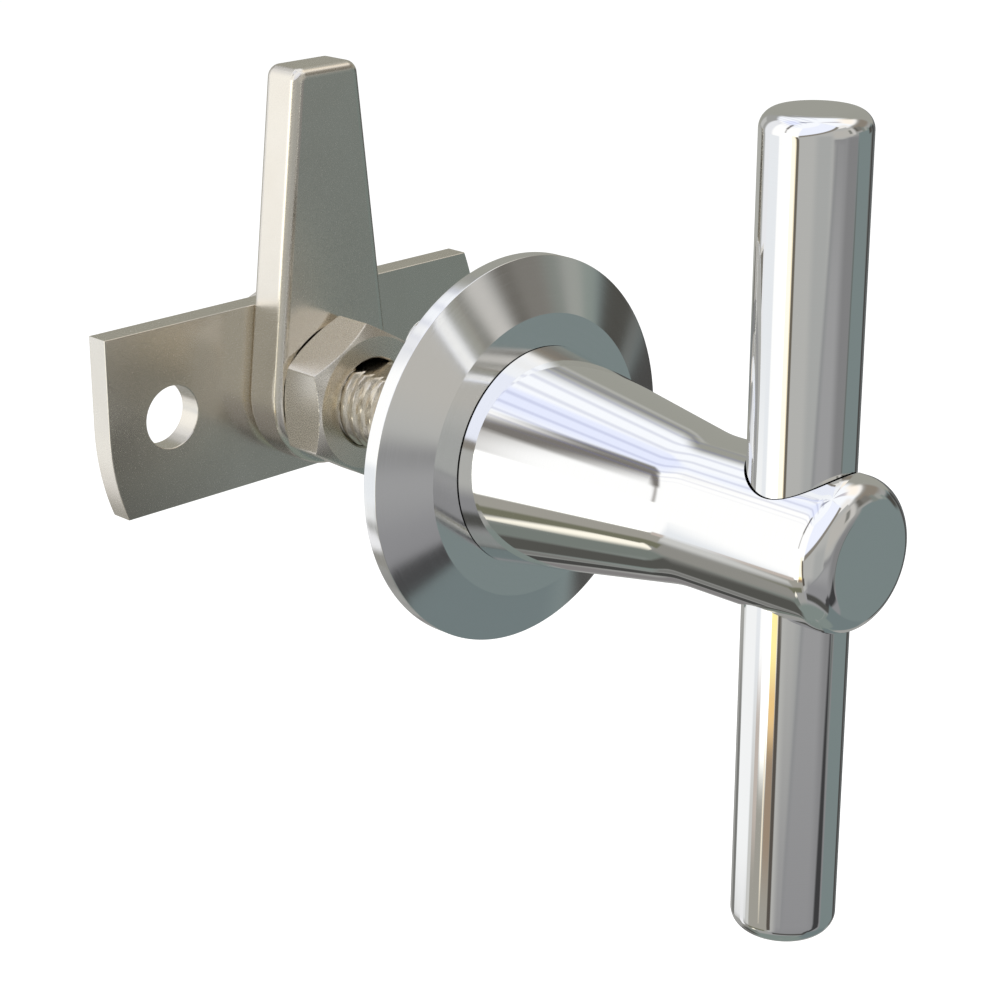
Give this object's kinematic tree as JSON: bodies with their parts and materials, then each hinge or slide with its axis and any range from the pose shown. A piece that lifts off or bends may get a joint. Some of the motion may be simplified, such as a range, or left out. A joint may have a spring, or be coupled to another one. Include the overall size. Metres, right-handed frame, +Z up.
{
  "type": "cam latch",
  "caption": "T-handle cam latch: a dished rosette fixed behind a door, with a turning hub, a threaded shaft, a cam arm and a rod cam.",
  "frame": {"origin": "on the shaft's axis, in the plane where the rosette's back seats on the door", "axes": "+Y along the shaft, from the user's side through the door to the cam; +Z up along the T-bar and the cam arm; +X to the user's right"},
  "size_m": [0.0662, 0.1102, 0.1],
  "materials": {
    "polished_steel": "polished stainless steel",
    "satin_steel": "satin, blasted steel",
    "seal_rubber": "matt black",
    "bush_plastic": "smooth, natural white"
  },
  "bodies": {
    "fixed": {"rosette": "polished_steel", "bearing_bush": "bush_plastic", "face_seal": "seal_rubber", "shaft_seal": "seal_rubber"},
    "handle": {"handle_hub": "polished_steel", "t_bar": "polished_steel", "grub_screw": "satin_steel", "stop_pin": "satin_steel", "threaded_shaft": "satin_steel", "shaft_pin": "satin_steel", "thrust_washer": "satin_steel", "retaining_ring": "satin_steel", "front_nut": "satin_steel", "cam_arm": "satin_steel", "rod_cam": "satin_steel", "rear_nut": "satin_steel"}
  },
  "joints": [
    {"name": "handle_turn", "type": "hinge", "parent": "fixed", "child": "handle", "pos_m": [0, 0, 0], "axis": [0, 1, 0], "range_deg": [0, 90]}
  ]
}
